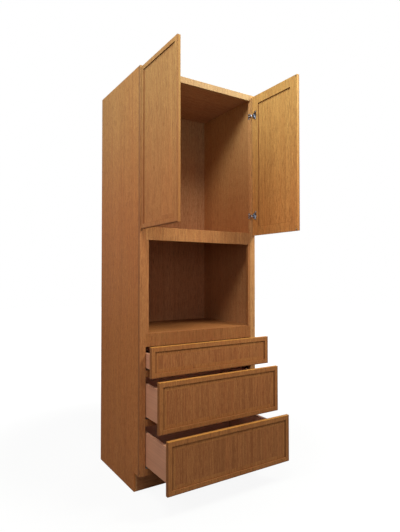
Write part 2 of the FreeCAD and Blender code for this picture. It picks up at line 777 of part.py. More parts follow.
def drawer(word):
    """One drawer and its slides; word picks the opening, the box height and how far it is out."""
    low, high, out = f"{word}_low", f"{word}_high", f"{word}_drawer_out"
    box_high = f"{word}_box_height"
    tall = f"{high} - {low} + 2 * front_overlay"
    front_y = f"frame_front - frame_gap - front_thickness - {out}"
    stile = front_stile(word + "_stile", "front_width", tall)
    rail = front_rail(word + "_rail", "front_width", tall)
    members = [stile, mirror(word + "_stile_2", stile), rail, mirror(word + "_rail_2", rail, "Z")]
    frame = group(word + "_front_frame", members)
    panel = group(word + "_front_panel", [front_panel(word + "_panel_board", "front_width", tall)])
    for label, thing in (("front_frame", frame), ("front_panel", panel)):
        move(thing, "0", front_y, f"({low} + {high}) / 2")
        node(f"{word}_drawer_{label}", thing)

    bottom = board(
        word + "_bottom_board",
        across("box_inner + box_groove"),
        ("box_end_thickness - box_groove", "box_depth - box_end_thickness + box_groove"),
        ("bottom_recess", "bottom_recess + box_bottom_thickness"),
    )
    side = box_side(word + "_side", box_high)
    sides = both_sides(word + "_sides", cut(word + "_side_grooved", side, bottom))
    notches = both_sides(word + "_notches", notch_tool(word + "_notch"))
    blank_front = board(word + "_end_1", across("box_half"), ("0", "box_end_thickness"), ("0", box_high))
    blank_back = board(
        word + "_end_2",
        across("box_half"),
        ("box_depth - box_end_thickness", "box_depth"),
        ("0", box_high),
    )
    pins = both_sides(word + "_side_tools", side)
    ends = []
    for number, blank in ((1, blank_front), (2, blank_back)):
        pinned = cut(f"{word}_pinned_{number}", blank, pins)
        ends.append(cut(f"{word}_grooved_{number}", pinned, bottom))
    ends[1] = cut(word + "_notched", ends[1], notches)
    travelling = {
        "box_sides": sides,
        "box_ends": group(word + "_ends", ends),
        "box_bottom": group(word + "_bottom", [bottom]),
        "slide_members": both_sides(word + "_runner", drawer_slide_member(word + "_runner_left")),
        "lock_clips": both_sides(word + "_clip", locking_clip(word + "_clip_left")),
    }
    for label, thing in travelling.items():
        move(thing, "0", f"frame_front - frame_gap - {out}", f"{low} + box_lift")
        node(f"{word}_drawer_{label}", thing)
    middle = both_sides(word + "_middle", middle_slide_member(word + "_middle_left"))
    move(middle, "0", f"frame_front - {out} / 2", f"{low} + box_lift")
    node(f"{word}_slide_middle_members", middle)


def fixed_slides():
    members = []
    brackets = []
    for word in ("top", "middle", "bottom"):
        member = both_sides(word + "_fixed", fixed_slide_member(word + "_fixed_left"))
        bracket = both_sides(word + "_bracket", rear_bracket(word + "_bracket_left"))
        for thing in (member, bracket):
            move(thing, "0", "frame_front", f"{word}_low + box_lift")
        members.append(member)
        brackets.append(bracket)
    node("slide_cabinet_members", group("fixed_members", members))
    node("slide_rear_brackets", group("rear_brackets", brackets))


def check_and_write():
    """Refuse a failed feature, a pocket that cuts nothing or a broken shape, then write each sub-part."""
    for item in DOC.Objects:
        if "Invalid" in item.State or "Error" in item.State:
            raise RuntimeError(f"{item.Name} ({item.Label}) is {item.State}")
        if item.TypeId == "PartDesign::Pocket" and item.Shape.Volume >= item.BaseFeature.Shape.Volume - 0.001:
            raise RuntimeError(f"{item.Name} cuts nothing")
    os.makedirs("parts", exist_ok=True)
    for item in NODES:
        if item.Shape.isNull() or not item.Shape.isValid() or not item.Shape.Solids:
            raise RuntimeError(f"{item.Label} has no valid shape")
    for item in NODES:
        item.Shape.exportStep(os.path.join("parts", item.Label + ".step"))
        print(item.Label, len(item.Shape.Solids), round(item.Shape.Volume / 1000.0, 2), "cm3")
    print(len(NODES), "sub-parts")


side_panels()
decks()
back_and_base()
face_frame()
hinges_on_frame()
doors()
fixed_slides()
for place in ("top", "middle", "bottom"):
    drawer(place)
DOC.recompute()
check_and_write()
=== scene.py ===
import math

import bmesh
import bpy
from mathutils import Matrix, Vector


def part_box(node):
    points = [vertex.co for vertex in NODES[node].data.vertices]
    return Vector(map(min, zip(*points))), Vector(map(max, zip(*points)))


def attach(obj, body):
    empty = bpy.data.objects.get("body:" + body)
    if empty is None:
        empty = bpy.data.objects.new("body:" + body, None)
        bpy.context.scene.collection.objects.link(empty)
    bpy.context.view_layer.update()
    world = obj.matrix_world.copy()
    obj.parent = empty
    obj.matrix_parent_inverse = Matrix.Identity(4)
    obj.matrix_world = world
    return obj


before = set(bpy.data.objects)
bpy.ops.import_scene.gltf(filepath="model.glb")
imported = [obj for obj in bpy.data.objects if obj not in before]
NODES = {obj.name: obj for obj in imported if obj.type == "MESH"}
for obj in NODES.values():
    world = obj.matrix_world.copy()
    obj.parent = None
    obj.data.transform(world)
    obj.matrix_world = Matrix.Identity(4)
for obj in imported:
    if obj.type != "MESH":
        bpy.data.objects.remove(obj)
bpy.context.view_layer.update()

bl_info = {
    "name": "Oven cabinet finishes",
    "version": (1, 0, 0),
    "blender": (4, 5, 0),
    "location": "3D View > Sidebar > Cabinet",
    "description": "Dresses the tall oven cabinet: veneer, boxes, slides, hinges, screws and the studio",
    "category": "Object",
}

MM = 0.001

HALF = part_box("right_side_panel")[1].x
DRAWERS = ("top", "middle", "bottom")


# Shader maths


class Socket:
    """A socket of a material, on which Python's operators work."""

    def __init__(self, tree, source):
        self.tree = tree
        self.source = source

    def _math(self, operation, *others, swap=False):
        operands = [self.source] + [item.source if isinstance(item, Socket) else item for item in others]
        if swap:
            operands.reverse()
        return self.tree.add("ShaderNodeMath", {"operation": operation}, dict(enumerate(operands)))

    def __add__(self, other):
        return self._math("ADD", other)

    __radd__ = __add__

    def __sub__(self, other):
        return self._math("SUBTRACT", other)

    def __rsub__(self, other):
        return self._math("SUBTRACT", other, swap=True)

    def __mul__(self, other):
        return self._math("MULTIPLY", other)

    def __truediv__(self, other):
        return self._math("DIVIDE", other)

    def __lt__(self, other):
        return self._math("LESS_THAN", other)

    def __gt__(self, other):
        return self._math("GREATER_THAN", other)

    def floor(self):
        return self._math("FLOOR")

    def size(self):
        return self._math("ABSOLUTE")

    def either(self, other):
        return self._math("MAXIMUM", other)

    def lesser(self, other):
        return self._math("MINIMUM", other)

    def ramp(self, low, high, start=0.0, end=1.0):
        """Value that goes smoothly from start to end while this one goes from low to high."""
        settings = {"interpolation_type": "SMOOTHSTEP", "clamp": True}
        values = {0: self.source, 1: low, 2: high, 3: start, 4: end}
        return self.tree.add("ShaderNodeMapRange", settings, values)


class Finish:
    """A material under construction."""

    def __init__(self, name):
        self.material = bpy.data.materials.new(name)
        self.material.use_nodes = True
        self.nodes = self.material.node_tree.nodes
        self.links = self.material.node_tree.links
        self.shader = self.nodes["Principled BSDF"]
        self.output = self.nodes["Material Output"]

    def add(self, kind, settings=None, values=None, out=0):
        """New node: its settings first, then the values or links of its sockets."""
        node = self.nodes.new(kind)
        for key, value in (settings or {}).items():
            setattr(node, key, value)
        for key, value in (values or {}).items():
            self.put(node.inputs[key], value)
        return Socket(self, node.outputs[out])

    def put(self, socket, value):
        value = value.source if isinstance(value, Socket) else value
        if isinstance(value, bpy.types.NodeSocket):
            self.links.new(value, socket)
        else:
            socket.default_value = value

    def set(self, **values):
        """Values or links for sockets of the Principled shader; an underscore stands for a space."""
        for key, value in values.items():
            self.put(self.shader.inputs[key.replace("_", " ")], value)

    def place(self):
        """The object's own coordinates, in metres."""
        node = self.nodes.new("ShaderNodeTexCoord")
        return Socket(self, node.outputs["Object"])

    def parts(self, vector):
        node = self.nodes.new("ShaderNodeSeparateXYZ")
        self.put(node.inputs[0], vector)
        return [Socket(self, output) for output in node.outputs]

    def vector(self, x, y, z):
        return self.add("ShaderNodeCombineXYZ", None, {0: x, 1: y, 2: z})

    def noise(self, vector, scale=1.0, detail=2.0, roughness=0.5):
        values = {"Vector": vector, "Scale": scale, "Detail": detail, "Roughness": roughness}
        return self.add("ShaderNodeTexNoise", {"noise_dimensions": "3D"}, values)

    def chance(self, value):
        """A steady random number for each value."""
        return self.add("ShaderNodeTexWhiteNoise", {"noise_dimensions": "1D"}, {"W": value})

    def mix(self, factor, first, second, kind="MIX"):
        values = {0: factor, 6: first, 7: second}
        settings = {"data_type": "RGBA", "blend_type": kind}
        return self.add("ShaderNodeMix", settings, values, out=2)

    def bump(self, height, distance, strength=1.0):
        values = {"Height": height, "Distance": distance, "Strength": strength}
        return self.add("ShaderNodeBump", None, values)


def colour4(colour, level=1.0):
    """Colour with alpha; the level is one factor, or one for each of red, green and blue."""
    levels = level if isinstance(level, tuple) else (level, level, level)
    return (*(part * factor for part, factor in zip(colour, levels)), 1.0)


# Finishes


AXES = "xyz"


def veneer(name, along, across, look, seed=0.0, strip=0.085, tone=1.0, shade=None, tint=None):
    """Straight-grained veneer or solid wood; along and across name the grain's axes on the widest face.

    A shade is a function that gives the places where shade is painted as a darker colour, a tint one that
    changes the colour; several tints paint light or shade.
    """
    finish = Finish(name)
    parts = finish.parts(finish.place())
    third = ({0, 1, 2} - {AXES.index(along), AXES.index(across)}).pop()
    length, width, depth = parts[AXES.index(along)], parts[AXES.index(across)], parts[third]

    # The grain wanders a little, and in each strip it starts at another place of the pattern.
    sway = finish.noise(finish.vector(length * 0.9 + seed, width * 2.0, depth * 2.0), detail=1.0)
    bent = width + (sway - 0.5) * look.sway
    strips = (bent + seed) / strip
    number = strips.floor()
    shift = finish.chance(number)
    start = length + shift * 7.0

    def streaks(fine, long, detail=2.0, roughness=0.5, skip=0.0):
        """Noise drawn out along the grain, with its scales across the grain and along it, per metre."""
        place = finish.vector(start * long + skip, bent * fine, depth * fine)
        return finish.noise(place, detail=detail, roughness=roughness)

    broad = streaks(8.0, 0.7, detail=1.0)
    bands = streaks(60.0, 2.2, detail=3.0, roughness=0.6)
    flecks = streaks(340.0, 22.0, detail=1.0)
    specks = streaks(340.0, 105.0, detail=0.0, skip=12.0)
    fibres = streaks(900.0, 14.0, roughness=0.6)
    strokes = streaks(360.0, 19.0, detail=1.0, skip=5.0).ramp(0.55, 0.70)
    pores = streaks(1500.0, 55.0, detail=0.0).ramp(0.66, 0.74) * fibres.ramp(0.35, 0.6)

    # Veins lie where a slow noise passes its middle value.
    coarse = (streaks(30.0, 0.3, detail=0.0, skip=9.0) - 0.5).size().ramp(0.012, 0.045, 1.0, 0.0)
    slender = (streaks(115.0, 0.8, detail=0.0, skip=3.0) - 0.5).size().ramp(0.02, 0.09, 0.65, 0.0)
    veins = coarse.either(slender)

    level = (broad - 0.5) * look.band + (bands - 0.5) * look.band + (shift - 0.5) * look.strip_change
    level = level + (flecks - 0.5) * look.fleck + (specks - 0.5) * look.speck
    level = level + (fibres - 0.5) * look.fibre + 0.5
    colour = finish.mix(level.ramp(0.0, 1.0), colour4(look.dark, tone), colour4(look.light, tone))
    colour = finish.mix(bands.ramp(0.35, 0.75, 0.0, look.blush), colour, colour4(look.warm, tone))
    # Painted light and sheen: towards the top the wood is tinted paler and yellower, as if lit more strongly
    # there.
    high = parts[2].ramp(look.high_start, look.high_end, 0.0, look.high_share)
    colour = finish.mix(high, colour, look.painted_top_light(), "MULTIPLY")
    # Tints: several of them paint light, shade or highlights on particular faces and edges.
    if tint:
        colour = tint(finish, parts, colour)

    seams = (strips - number - 0.5).size().ramp(0.465, 0.495)
    seams = seams * streaks(2.0, 14.0, detail=1.0).ramp(0.40, 0.60)
    marks = (pores * look.pore).either(seams * look.seam).either(strokes * look.stroke)
    marks = marks.either(veins * look.vein)
    # Painted shade: the shade function darkens corners, recesses and edges where shade falls.
    if shade:
        marks = marks.either(shade(finish, parts) * look.shade)
    height = fibres * 0.35 + flecks * 0.25 - pores * 0.9 - strokes * 0.3
    finish.set(
        Base_Color=finish.mix(marks, colour, colour4(look.pore_colour, tone)),
        Roughness=(flecks * 0.10 + fibres * 0.10 + pores * 0.2 + (look.roughness - 0.10)),
        Coat_Weight=look.coat,
        Coat_Roughness=0.35,
        Normal=finish.bump(height, 0.12 * MM, 0.55),
        IOR=1.48,
        Specular_IOR_Level=look.gloss,
    )
    return finish.material


def between(value, low, high):
    return (value > low) * (value < high)


def from_edge(parts, box, axis):
    """How far a place is from the nearer end of a box along an axis."""
    low, high = box
    middle, reach = (low[axis] + high[axis]) / 2.0, (high[axis] - low[axis]) / 2.0
    return reach - (parts[axis] - middle).size()


def painted_recess_shade(box, facing, side, rim_shade=0.35):
    """Painted shade for a door or drawer front: darker lines at the feet of its recesses, on both faces,
    where shade falls.

    On the outer face the painted shade lines are wider at the sides, the lit ledge of the lower rim stays
    clear, and a painted shade border runs down the sides and round the lower half. The rim shade paints the
    narrow edges darker.
    The box is the front's own, facing its thin axis, and side is 1 or -1: where its outer face looks.
    """

    def shade(finish, parts):
        look = settings().front
        low, high = box
        across, upright = (from_edge(parts, box, axis) for axis in sorted({0, 1, 2} - {facing}))
        inset = across.lesser(upright)
        below = parts[2] < (low[2] + high[2]) / 2.0
        depth = (parts[facing] - (high if side > 0 else low)[facing]).size()
        shallow = depth < look.step + 1.0 * MM
        floor = (depth > look.step - 1.0 * MM) * shallow

        # Painted shade in the recesses: the rim walls, the feet at the sides and the inner face's corners;
        # the ledge of the lower rim catches light from above and stays clear.
        outer = between(inset, look.rim - 0.2 * MM, look.rim + look.line) * shallow
        ledge = below * between(upright, look.rim - 3.0 * MM, look.rim + 0.8 * MM)
        ledge = ledge * (depth < look.step - 0.5 * MM)
        foot = between(across, look.rim, look.rim + look.line * 4.0) * between(inset, look.rim, 1.0) * floor
        behind = depth > look.step + 3.0 * MM
        inner = between(inset, look.member - 0.3 * MM, look.member + look.line) * behind
        # Painted shade on the outer face: a soft dark border on the lower half and down the sides, and on the
        # narrow edges.
        border = inset.ramp(2.5 * MM, look.border, 1.0, 0.0) * below
        border = border.either(across < look.border * 0.5) * shallow
        edge = (inset < 0.4 * MM) * (1.0 - shallow)
        lines = (outer * (1.0 - ledge)).either(inner).either(foot * 0.95)
        return lines.either(border * 0.95).either(edge * rim_shade)

    return shade


def painted_side_inner_light(finish, parts, colour):
    """Painted light on the cabinet sides' inner faces, which lie in shade: less red, and less again below the
    upper deck.
    """
    inside = parts[0].size() < HALF - 10.0 * MM
    low_down = parts[2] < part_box("upper_deck")[0].z
    tint = finish.mix(low_down, (0.93, 1.03, 1.24, 1.0), (0.92, 1.14, 1.55, 1.0))
    return finish.mix(inside, colour, tint, "MULTIPLY")


def painted_door_inner_light(box, facing, side):
    """Painted light: a paler tint on a door's inner face; the box and side are as for the painted recess
    shade.
    """

    def tint(finish, parts, colour):
        outer_face = (box[1] if side > 0 else box[0])[facing]
        inward = (parts[facing] - outer_face).size().ramp(5.5 * MM, 11.0 * MM)
        return finish.mix(inward, colour, (1.28, 1.38, 1.26, 1.0), "MULTIPLY")

    return tint


def painted_crest_highlight(top):
    """Painted highlight: a paler, golden tint on a front's upper edge, where light catches it."""

    def tint(finish, parts, colour):
        return finish.mix(parts[2] > top - 1.6 * MM, colour, (1.45, 1.64, 1.12, 1.0), "MULTIPLY")

    return tint


def warm_top(finish, parts, colour):
    """Warmer tint on the upper part of the right stile: there it takes back part of the stile's painted
    light.
    """
    return finish.mix(parts[2].ramp(1.50, 1.75), colour, (1.05, 0.87, 0.83, 1.0), "MULTIPLY")


def painted_box_light_and_shade(box):
    """Painted light and shade on a drawer box: a paler tint on its inner faces, which lie in shade, and
    painted shade on its upper edges, where the light catches them.
    """

    def tint(finish, parts, colour):
        inside = (from_edge(parts, box, 0) > 15.0 * MM) * (from_edge(parts, box, 1) > 15.0 * MM)
        colour = finish.mix(inside, colour, (1.20, 1.60, 2.05, 1.0), "MULTIPLY")
        return finish.mix(parts[2] > box[1].z - 0.8 * MM, colour, (0.72, 0.72, 0.72, 1.0), "MULTIPLY")

    return tint


def corner_edge(finish, parts):
    """Shade for the outer edges of the face frame."""
    return (parts[0].size() > HALF - 0.6 * MM) * 0.55


def sheet_metal(name, colour, axis, rough=0.34, grain=0.35):
    """Rolled and plated sheet: faint lines along an axis, cloudy plating."""
    finish = Finish(name)
    parts = finish.parts(finish.place())
    fine, long = 1400.0, 18.0
    scales = [long if name == axis else fine for name in AXES]
    lines = finish.noise(finish.vector(*(part * scale for part, scale in zip(parts, scales))))
    cloud = finish.noise(finish.place(), scale=60.0, detail=3.0, roughness=0.6)
    level = (lines * grain + cloud * (1.0 - grain)).ramp(0.25, 0.75)
    finish.set(
        Base_Color=finish.mix(level, colour4(colour, 0.80), colour4(colour, 1.08)),
        Metallic=1.0,
        Roughness=rough + (cloud - 0.5) * 0.18 + (lines - 0.5) * 0.12,
        Normal=finish.bump(lines, 0.04 * MM, 0.35),
    )
    return finish.material


def moulded(name, colour, rough=0.5):
    """Moulded plastic or rubber with a fine even texture."""
    finish = Finish(name)
    place = finish.place()
    grain = finish.noise(place, scale=2600.0, detail=1.0)
    cloud = finish.noise(place, scale=90.0)
    finish.set(
        Base_Color=finish.mix(cloud, colour4(colour, 0.92), colour4(colour, 1.05)),
        Roughness=rough + (grain - 0.5) * 0.12,
        Normal=finish.bump(grain, 0.03 * MM, 0.5),
    )
    return finish.material


def clear_plastic(name, colour):
    """Soft clear plastic, slightly cloudy."""
    finish = Finish(name)
    cloud = finish.noise(finish.place(), scale=700.0)
    finish.set(
        Base_Color=finish.mix(cloud, colour4(colour, 0.9), colour4(colour, 1.1)),
        Roughness=0.18 + cloud * 0.25,
        Transmission_Weight=0.85,
        IOR=1.49,
    )
    return finish.material


def dress(names, material):
    """Give CAD nodes a finish."""
    for name in names:
        data = NODES[name].data
        data.materials.clear()
        data.materials.append(material)


def board(names, *figure, **details):
    """Give CAD nodes a wood of their own; the rest is as for the veneer."""
    dress(names, veneer(*figure, **details))


# New pieces


def new_piece(name, mesh, material, body):
    piece = bpy.data.objects.new(name, mesh)
    bpy.context.scene.collection.objects.link(piece)
    mesh.materials.append(material)
    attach(piece, body)
    return piece


def cross_reach(angle, reach=0.56, half=0.15):
    """Distance from the middle to the outline of a cross, at an angle."""
    along, side = max(abs(math.cos(angle)), 1e-6), max(abs(math.sin(angle)), 1e-6)
    return max(min(reach / along, half / side), min(half / along, reach / side))


def lathe(mesh, profile, steps, matrix):
    """Add a turned form: profile of radius and height along its own Z axis.

    A negative radius stands for that part of the driver's cross.
    """
    rings = []
    for radius, height in profile:
        if radius == 0.0:
            rings.append([mesh.verts.new(matrix @ Vector((0.0, 0.0, height)))])
            continue
        ring = []
        for k in range(steps):
            angle = 2.0 * math.pi * k / steps
            reach = radius if radius > 0.0 else -radius * cross_reach(angle)
            point = Vector((reach * math.cos(angle), reach * math.sin(angle), height))
            ring.append(mesh.verts.new(matrix @ point))
        rings.append(ring)
    for low, high in zip(rings, rings[1:]):
        for k in range(steps):
            after = (k + 1) % steps
            corners = [low[k % len(low)], low[after % len(low)], high[after % len(high)], high[k % len(high)]]
            unique = list(dict.fromkeys(corners))
            if len(unique) > 2:
                mesh.faces.new(unique)


def finished_mesh(name, mesh, smooth=0.6):
    bmesh.ops.recalc_face_normals(mesh, faces=mesh.faces)
    data = bpy.data.meshes.new(name)
    mesh.to_mesh(data)
    mesh.free()
    for polygon in data.polygons:
        polygon.use_smooth = True
    data.set_sharp_from_angle(angle=smooth)
    return data


# Profiles of heads, as radius and height, in parts of the head's radius.
PAN_HEAD = (
    (0.0, 0.18), (-0.55, 0.22), (-1.0, 0.59), (0.62, 0.58), (0.82, 0.46), (0.97, 0.22), (1.0, 0.0), (0.0, 0.0)
)
TRUSS_HEAD = (
    (0.0, 0.06), (-0.55, 0.10), (-1.0, 0.38), (0.62, 0.36), (0.85, 0.20), (1.0, 0.05), (1.0, 0.0), (0.0, 0.0)
)
BRAD_HEAD = ((0.0, 0.22), (0.55, 0.20), (0.92, 0.10), (1.0, 0.0), (0.0, 0.0))


def heads(name, places, radius, shape, material, body, steps=24):
    """Heads in one piece; each place is a point on a face and the direction that it faces."""
    mesh = bmesh.new()
    for point, facing in places:
        matrix = Matrix.Translation(point) @ facing.to_track_quat("Z", "Y").to_matrix().to_4x4()
        lathe(mesh, shape, steps, matrix @ Matrix.Scale(radius, 4))
    return new_piece(name, finished_mesh(name, mesh), material, body)


def brads(name, box, heights, material):
    """Rows of brad heads where the back panel is nailed to the decks."""
    low, high = box
    count, margin, radius = 7, 30.0 * MM, 2.6 * MM
    behind = Vector((0.0, 1.0, 0.0))
    places = []
    for height in heights:
        for k in range(count):
            across = (k / (count - 1.0) - 0.5) * (high.x - low.x - 2.0 * margin)
            places.append((Vector((across, high.y, height)), behind))
    return heads(name, places, radius, BRAD_HEAD, material, "carcass", steps=14)


def clip_ribs(name, box, material, body):
    """Finger ribs under the locking clips: rounded bars across each lever."""
    low, high = box
    count, half_width, inset, first, pitch = 4, 10.0 * MM, 13.0 * MM, 6.0 * MM, 4.2 * MM
    section = ((0.0, 0.0), (0.25, -0.55), (0.8, -0.85), (1.35, -0.55), (1.6, 0.0))
    mesh = bmesh.new()
    for sign in (-1.0, 1.0):
        middle = sign * (high.x - inset)
        for k in range(count):
            start = low.y + first + k * pitch
            ends = []
            for x in (middle - half_width, middle + half_width):
                ends.append([mesh.verts.new((x, start + y * MM, low.z + z * MM)) for y, z in section])
            for i in range(len(section)):
                j = (i + 1) % len(section)
                mesh.faces.new([ends[0][i], ends[0][j], ends[1][j], ends[1][i]])
            mesh.faces.new(ends[0])
            mesh.faces.new(ends[1])
    return new_piece(name, finished_mesh(name, mesh), material, body)


# Settings that a user would change


class WoodLook(bpy.types.PropertyGroup):
    light: bpy.props.FloatVectorProperty(
        name="Light grain",
        description="Colour of the pale grain",
        subtype="COLOR",
        default=(0.58, 0.250, 0.084),
    )
    dark: bpy.props.FloatVectorProperty(
        name="Dark grain",
        description="Colour of the dark grain",
        subtype="COLOR",
        default=(0.31, 0.099, 0.031),
    )
    warm: bpy.props.FloatVectorProperty(
        name="Warm streaks",
        description="Colour of the redder streaks",
        subtype="COLOR",
        default=(0.43, 0.138, 0.045),
    )
    pore_colour: bpy.props.FloatVectorProperty(
        name="Pores",
        description="Colour of pores, veins, strokes, joint lines and shaded corners",
        subtype="COLOR",
        default=(0.15, 0.047, 0.020),
    )
    # Painted light: the high tint and its start, end and share paint the wood paler and yellower towards the
    # top of the cabinet, as if lit more strongly there.
    painted_high_light: bpy.props.FloatVectorProperty(
        name="High tint",
        description="Tint of the wood towards the top of the cabinet",
        subtype="COLOR",
        default=(0.84, 1.17, 1.27),
    )
    high_start: bpy.props.FloatProperty(
        name="High start", description="Height at which that tint begins", unit="LENGTH", default=1.45
    )
    high_end: bpy.props.FloatProperty(
        name="High end", description="Height at which that tint is full", unit="LENGTH", default=2.45
    )
    high_share: bpy.props.FloatProperty(
        name="High share", description="How much of that tint the top has", default=1.0
    )
    sway: bpy.props.FloatProperty(
        name="Sway", description="How far the grain wanders sideways", unit="LENGTH", default=0.012
    )
    band: bpy.props.FloatProperty(name="Bands", description="Contrast of the broad bands", default=0.17)
    strip_change: bpy.props.FloatProperty(
        name="Strips", description="Difference between neighbouring strips", default=0.10
    )
    fleck: bpy.props.FloatProperty(name="Flecks", description="Contrast of the short flecks", default=0.62)
    speck: bpy.props.FloatProperty(
        name="Specks", description="Contrast of the small dark specks", default=0.50
    )
    fibre: bpy.props.FloatProperty(name="Fibres", description="Contrast of the fine fibres", default=0.35)
    pore: bpy.props.FloatProperty(name="Pore depth", description="Strength of the pores", default=0.45)
    seam: bpy.props.FloatProperty(
        name="Joint lines", description="Strength of the lines between strips", default=0.36
    )
    vein: bpy.props.FloatProperty(name="Veins", description="Strength of the long dark veins", default=0.20)
    stroke: bpy.props.FloatProperty(
        name="Strokes", description="Strength of the short dark strokes", default=0.60
    )
    # Painted shade: how strongly the shade functions darken the wood where shade falls, in corners and along
    # edges.
    shade: bpy.props.FloatProperty(
        name="Shade", description="Strength of the darker finish in corners and along edges", default=0.62
    )
    gloss: bpy.props.FloatProperty(
        name="Gloss", description="Strength of the wood's own reflection", default=0.05
    )
    blush: bpy.props.FloatProperty(name="Blush", description="Strength of the warm streaks", default=0.50)
    coat: bpy.props.FloatProperty(name="Lacquer", description="Strength of the clear coat", default=0.01)
    roughness: bpy.props.FloatProperty(name="Roughness", description="Roughness of the wood", default=0.52)

    # The high tint at full strength: painted light for the top of the cabinet.
    def painted_top_light(self):
        return colour4(self.painted_high_light, 1.18)


class FrontLook(bpy.types.PropertyGroup):
    rim: bpy.props.FloatProperty(
        name="Rim", description="Width of the raised rim of a front", unit="LENGTH", default=0.0254
    )
    step: bpy.props.FloatProperty(
        name="Step", description="Depth from the rim to the panel", unit="LENGTH", default=0.005
    )
    member: bpy.props.FloatProperty(
        name="Member",
        description="Width of a front's stiles and rails at the back",
        unit="LENGTH",
        default=0.05715,
    )
    # Painted shade: the border and the corner line set the widths of the shade painted on the fronts.
    border: bpy.props.FloatProperty(
        name="Border",
        description="Width of the darker line round a front's edge",
        unit="LENGTH",
        default=0.0075,
    )
    line: bpy.props.FloatProperty(
        name="Corner line",
        description="Width of the darker line at the foot of a recess",
        unit="LENGTH",
        default=0.0024,
    )


class MetalLook(bpy.types.PropertyGroup):
    nickel: bpy.props.FloatVectorProperty(
        name="Nickel", description="Colour of the hinges", subtype="COLOR", default=(0.50, 0.52, 0.58)
    )
    zinc: bpy.props.FloatVectorProperty(
        name="Zinc", description="Colour of the slides", subtype="COLOR", default=(0.56, 0.57, 0.58)
    )
    screw_head: bpy.props.FloatProperty(
        name="Screw head", description="Radius of the hinge screws' heads", unit="LENGTH", default=0.0036
    )
    front_screw: bpy.props.FloatProperty(
        name="Front screw",
        description="Radius of the heads inside the drawers",
        unit="LENGTH",
        default=0.0050,
    )
    sheet: bpy.props.FloatProperty(
        name="Sheet", description="Thickness of the slides' sheet", unit="LENGTH", default=0.00125
    )
    box_wall: bpy.props.FloatProperty(
        name="Box wall",
        description="Thickness of the drawer boxes' boards",
        unit="LENGTH",
        default=0.015875,
    )


class StudioLook(bpy.types.PropertyGroup):
    key: bpy.props.FloatProperty(name="Key light", description="Power of the key light", default=86.0)
    left: bpy.props.FloatProperty(
        name="Left light", description="Power of the light on the left", default=50.0
    )
    right: bpy.props.FloatProperty(
        name="Right light", description="Power of the light on the right", default=90.0
    )
    back: bpy.props.FloatProperty(
        name="Back light", description="Power of the light behind the cabinet", default=60.0
    )
    fill: bpy.props.FloatProperty(
        name="Low fill", description="Power of the low light near the camera", default=10.0
    )
    world: bpy.props.FloatProperty(
        name="Surroundings", description="Strength of the surroundings", default=0.14
    )


def settings():
    return bpy.context.scene.cabinet_settings


class CabinetSettings(bpy.types.PropertyGroup):
    veneer: bpy.props.PointerProperty(type=WoodLook)
    maple: bpy.props.PointerProperty(type=WoodLook)
    interior: bpy.props.PointerProperty(type=WoodLook)
    drawers: bpy.props.PointerProperty(type=WoodLook)
    front: bpy.props.PointerProperty(type=FrontLook)
    metal: bpy.props.PointerProperty(type=MetalLook)
    studio: bpy.props.PointerProperty(type=StudioLook)


def set_maple():
    """The drawer boxes' wood: paler and pinker, with a quieter figure."""
    look = settings().maple
    look.light = (0.66, 0.325, 0.20)
    look.dark = (0.50, 0.215, 0.125)
    look.warm = (0.60, 0.26, 0.155)
    look.pore_colour = (0.32, 0.16, 0.10)
    look.band = 0.30
    look.fleck = 0.30
    look.speck = 0.15
    look.stroke = 0.10
    look.fibre = 0.25
    look.pore = 0.20
    look.seam = 0.06
    look.blush = 0.25
    look.high_share = 0.0


def set_interior():
    """The back and top panels: the same figure, paler and less red, as painted light for the shaded inside of
    the cabinet.
    """
    look = settings().interior
    look.light = (0.62, 0.315, 0.150)
    look.dark = (0.36, 0.140, 0.062)
    look.warm = (0.50, 0.195, 0.088)


def set_drawers():
    """The drawer panels: a little darker, with stronger veins and joint lines."""
    look = settings().drawers
    look.light = (0.55, 0.232, 0.084)
    look.dark = (0.30, 0.097, 0.034)
    look.warm = (0.41, 0.130, 0.047)
    look.pore_colour = (0.165, 0.042, 0.017)
    look.vein = 0.36
    look.seam = 0.55


# Operators


class CABINET_OT_carcass(bpy.types.Operator):
    """Wood on the sides, back, top, decks, cleats, toe board and nailers; brad heads in the back panel"""

    bl_idname = "cabinet.carcass"
    bl_label = "Finish the carcass"

    def execute(self, context):
        look, inside, maple = settings().veneer, settings().interior, settings().maple
        sides = ("left_side_panel", "right_side_panel")
        tone = (1.08, 1.02, 0.95)
        board(sides, "side_veneer", "z", "y", look, seed=0.31, strip=0.19, tone=tone, tint=painted_side_inner_light)
        tone = (1.02, 0.98, 0.97)
        board(("back_panel",), "back_veneer", "z", "x", inside, seed=1.7, strip=0.17, tone=tone)
        # Painted shade: the top panel is a darker, less red copy, for its underside in shade inside the
        # cabinet.
        tone = (0.91, 0.79, 0.82)
        board(("top_panel",), "top_veneer", "x", "y", inside, seed=8.8, strip=0.15, tone=tone)
        names = ("bottom_deck", "upper_deck")
        board(names, "deck_veneer", "x", "y", look, seed=2.3, strip=0.15, tone=0.86)
        middles = [sum(corner.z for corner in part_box(name)) / 2.0 for name in names]
        names = ("oven_deck", "oven_deck_cleats")
        board(names, "oven_deck_veneer", "x", "y", look, seed=2.9, strip=0.15, tone=0.73)
        # Painted shade: the toe board is a darker, less red copy, for how it looks in the shade under the
        # cabinet.
        tone = (0.82, 0.86, 1.05)
        board(("toe_kick_board",), "toe_veneer", "x", "z", look, seed=3.1, strip=0.2, tone=tone)
        board(("wall_nailers",), "nailer_plywood", "x", "z", maple, seed=4.4, strip=0.4, tone=1.05)
        steel = sheet_metal("brad_steel", settings().metal.zinc, "z", rough=0.35, grain=0.1)
        brads("back_brads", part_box("back_panel"), middles, steel)
        return {"FINISHED"}


